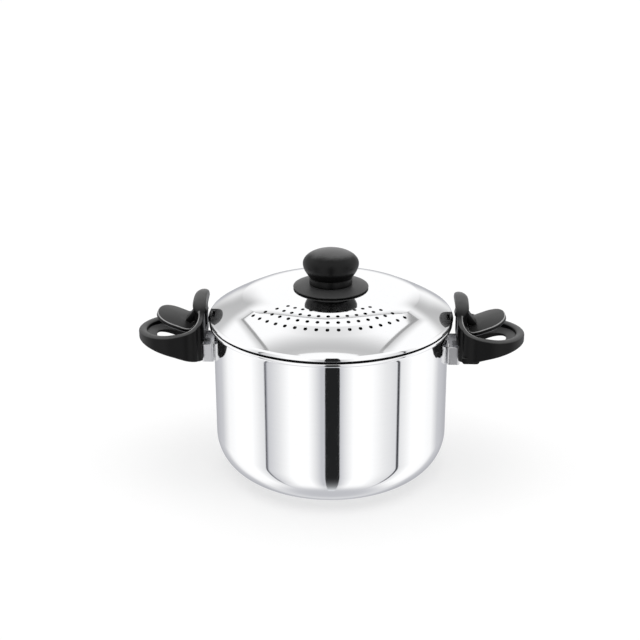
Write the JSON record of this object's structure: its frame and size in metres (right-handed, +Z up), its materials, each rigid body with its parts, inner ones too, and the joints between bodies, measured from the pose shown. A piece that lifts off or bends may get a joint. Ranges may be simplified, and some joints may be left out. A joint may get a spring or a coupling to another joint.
{
  "type": "rice strainer pot",
  "caption": "Polished steel cooking pot with a domed strainer lid, a knob, and loop handles whose sprung thumb levers lock the lid on while water is poured off.",
  "frame": {"origin": "centre of the pot's base, on the table", "axes": "+Z up along the pot's axis, X through the two handles, -Y towards the strainer holes"},
  "size_m": [0.325, 0.205, 0.1934],
  "materials": {
    "polished_steel": "mirror polished",
    "black_phenolic": "satin",
    "zinc_steel": "zinc plated",
    "brass": "turned"
  },
  "bodies": {
    "pot": {"pot_body": "polished_steel", "left_bracket": "polished_steel", "left_bracket_nut": "zinc_steel", "left_handle": "black_phenolic", "left_handle_screw": "zinc_steel", "left_handle_washer": "zinc_steel", "left_lever_pin": "zinc_steel", "left_lever_spring": "zinc_steel", "right_bracket": "polished_steel", "right_bracket_nut": "zinc_steel", "right_handle": "black_phenolic", "right_handle_screw": "zinc_steel", "right_handle_washer": "zinc_steel", "right_lever_pin": "zinc_steel", "right_lever_spring": "zinc_steel"},
    "lid": {"lid_shell": "polished_steel", "knob_guard": "black_phenolic", "knob_grip": "black_phenolic", "knob_insert": "brass", "knob_screw": "zinc_steel", "knob_washer": "zinc_steel"},
    "left_lever": {"left_lock_lever": "black_phenolic"},
    "right_lever": {"right_lock_lever": "black_phenolic"}
  },
  "joints": [
    {"name": "lid_lift", "type": "slide", "parent": "pot", "child": "lid", "axis": [0, 0, 1], "range_m": [0, 0.09]},
    {"name": "left_lever_hinge", "type": "hinge", "parent": "pot", "child": "left_lever", "pos_m": [-0.1089, 0, 0.1485], "axis": [0, -1, 0], "range_deg": [0, 17], "stiffness_Nm_per_rad": 0.06, "springref_deg": -20.05},
    {"name": "right_lever_hinge", "type": "hinge", "parent": "pot", "child": "right_lever", "pos_m": [0.1089, 0, 0.1485], "axis": [0, 1, 0], "range_deg": [0, 17], "stiffness_Nm_per_rad": 0.06, "springref_deg": -20.05}
  ]
}
